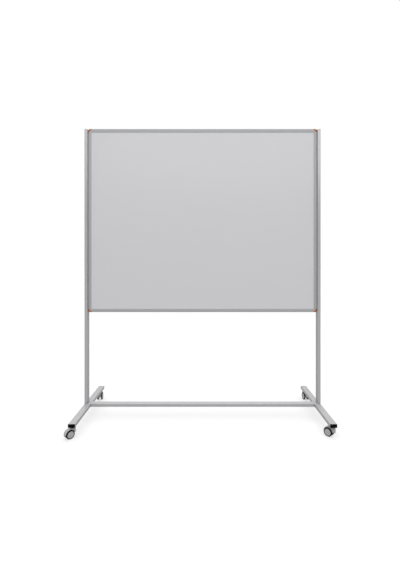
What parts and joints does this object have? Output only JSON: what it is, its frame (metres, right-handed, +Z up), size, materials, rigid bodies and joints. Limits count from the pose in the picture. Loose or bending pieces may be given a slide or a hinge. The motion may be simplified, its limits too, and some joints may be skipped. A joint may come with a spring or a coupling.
{
  "type": "mobile whiteboard",
  "caption": "Rolling whiteboard: a framed enamel board held between two flat-tube posts on low feet joined by a cross bar, with swivelling twin-wheel castors.",
  "frame": {"origin": "on the floor, midway between the posts and between the feet's ends", "axes": "+Z up, +X along the board to the right as seen by its reader, +Y to the back of the board"},
  "size_m": [1.5672, 0.6235, 1.878],
  "materials": {
    "silver_paint": "satin powder coat",
    "black_plastic": "moulded, matte",
    "rail_aluminium": "satin anodised",
    "corner_plastic": "moulded, matte",
    "enamel": "glossy enamel",
    "core_board": "raw particle board",
    "plated_steel": "zinc plated",
    "castor_plastic": "moulded, satin",
    "tyre_rubber": "soft tread"
  },
  "bodies": {
    "stand": {"post_left": "silver_paint", "post_right": "silver_paint", "post_cap_left": "black_plastic", "post_cap_right": "black_plastic", "foot_left": "silver_paint", "foot_right": "silver_paint", "foot_plug_front_left": "black_plastic", "foot_plug_rear_left": "black_plastic", "foot_plug_front_right": "black_plastic", "foot_plug_rear_right": "black_plastic", "crossbar": "silver_paint", "post_nut_plates": "plated_steel", "post_bolts": "plated_steel", "crossbar_nut_plates": "plated_steel", "crossbar_bolts": "plated_steel", "front_sheet": "enamel", "core_panel": "core_board", "back_sheet": "enamel", "rail_top": "rail_aluminium", "rail_bottom": "rail_aluminium", "rail_left": "rail_aluminium", "rail_right": "rail_aluminium", "corner_top_left": "corner_plastic", "corner_top_right": "corner_plastic", "corner_bottom_left": "corner_plastic", "corner_bottom_right": "corner_plastic", "board_nut_plates": "plated_steel", "board_screws": "plated_steel", "castor_inserts": "plated_steel", "castor_stems": "plated_steel", "castor_washers": "castor_plastic", "castor_grip_rings": "plated_steel"},
    "castor_front_left": {"hood_front_left": "castor_plastic", "axle_front_left": "plated_steel"},
    "wheel_front_left_a": {"hub_front_left_a": "castor_plastic", "tyre_front_left_a": "tyre_rubber"},
    "wheel_front_left_b": {"hub_front_left_b": "castor_plastic", "tyre_front_left_b": "tyre_rubber"},
    "castor_rear_left": {"hood_rear_left": "castor_plastic", "axle_rear_left": "plated_steel"},
    "wheel_rear_left_a": {"hub_rear_left_a": "castor_plastic", "tyre_rear_left_a": "tyre_rubber"},
    "wheel_rear_left_b": {"hub_rear_left_b": "castor_plastic", "tyre_rear_left_b": "tyre_rubber"},
    "castor_front_right": {"hood_front_right": "castor_plastic", "axle_front_right": "plated_steel"},
    "wheel_front_right_a": {"hub_front_right_a": "castor_plastic", "tyre_front_right_a": "tyre_rubber"},
    "wheel_front_right_b": {"hub_front_right_b": "castor_plastic", "tyre_front_right_b": "tyre_rubber"},
    "castor_rear_right": {"hood_rear_right": "castor_plastic", "axle_rear_right": "plated_steel"},
    "wheel_rear_right_a": {"hub_rear_right_a": "castor_plastic", "tyre_rear_right_a": "tyre_rubber"},
    "wheel_rear_right_b": {"hub_rear_right_b": "castor_plastic", "tyre_rear_right_b": "tyre_rubber"}
  },
  "joints": [
    {"name": "swivel_front_left", "type": "hinge", "parent": "stand", "child": "castor_front_left", "pos_m": [-0.75, -0.2783, 0.046], "axis": [0, 0, 1], "continuous": true},
    {"name": "roll_front_left_a", "type": "hinge", "parent": "castor_front_left", "child": "wheel_front_left_a", "pos_m": [-0.75324, -0.30311, 0.025], "axis": [0.7478, -0.6639, 0], "continuous": true},
    {"name": "roll_front_left_b", "type": "hinge", "parent": "castor_front_left", "child": "wheel_front_left_b", "pos_m": [-0.77425, -0.28445, 0.025], "axis": [0.7478, -0.6639, 0], "continuous": true},
    {"name": "swivel_rear_left", "type": "hinge", "parent": "stand", "child": "castor_rear_left", "pos_m": [-0.75, 0.2783, 0.046], "axis": [0, 0, 1], "continuous": true},
    {"name": "roll_rear_left_a", "type": "hinge", "parent": "castor_rear_left", "child": "wheel_rear_left_a", "pos_m": [-0.73417, 0.25893, 0.025], "axis": [0.996, 0.0889, 0], "continuous": true},
    {"name": "roll_rear_left_b", "type": "hinge", "parent": "castor_rear_left", "child": "wheel_rear_left_b", "pos_m": [-0.76215, 0.25643, 0.025], "axis": [0.996, 0.0889, 0], "continuous": true},
    {"name": "swivel_front_right", "type": "hinge", "parent": "stand", "child": "castor_front_right", "pos_m": [0.75, -0.2783, 0.046], "axis": [0, 0, 1], "continuous": true},
    {"name": "roll_front_right_a", "type": "hinge", "parent": "castor_front_right", "child": "wheel_front_right_a", "pos_m": [0.72574, -0.27219, 0.025], "axis": [-0.7466, -0.6652, 0], "continuous": true},
    {"name": "roll_front_right_b", "type": "hinge", "parent": "castor_front_right", "child": "wheel_front_right_b", "pos_m": [0.74672, -0.2535, 0.025], "axis": [-0.7466, -0.6652, 0], "continuous": true},
    {"name": "swivel_rear_right", "type": "hinge", "parent": "stand", "child": "castor_rear_right", "pos_m": [0.75, 0.2783, 0.046], "axis": [0, 0, 1], "continuous": true},
    {"name": "roll_rear_right_a", "type": "hinge", "parent": "castor_rear_right", "child": "wheel_rear_right_a", "pos_m": [0.7667, 0.25967, 0.025], "axis": [0.991, 0.134, 0], "continuous": true},
    {"name": "roll_rear_right_b", "type": "hinge", "parent": "castor_rear_right", "child": "wheel_rear_right_b", "pos_m": [0.73885, 0.2559, 0.025], "axis": [0.991, 0.134, 0], "continuous": true}
  ]
}
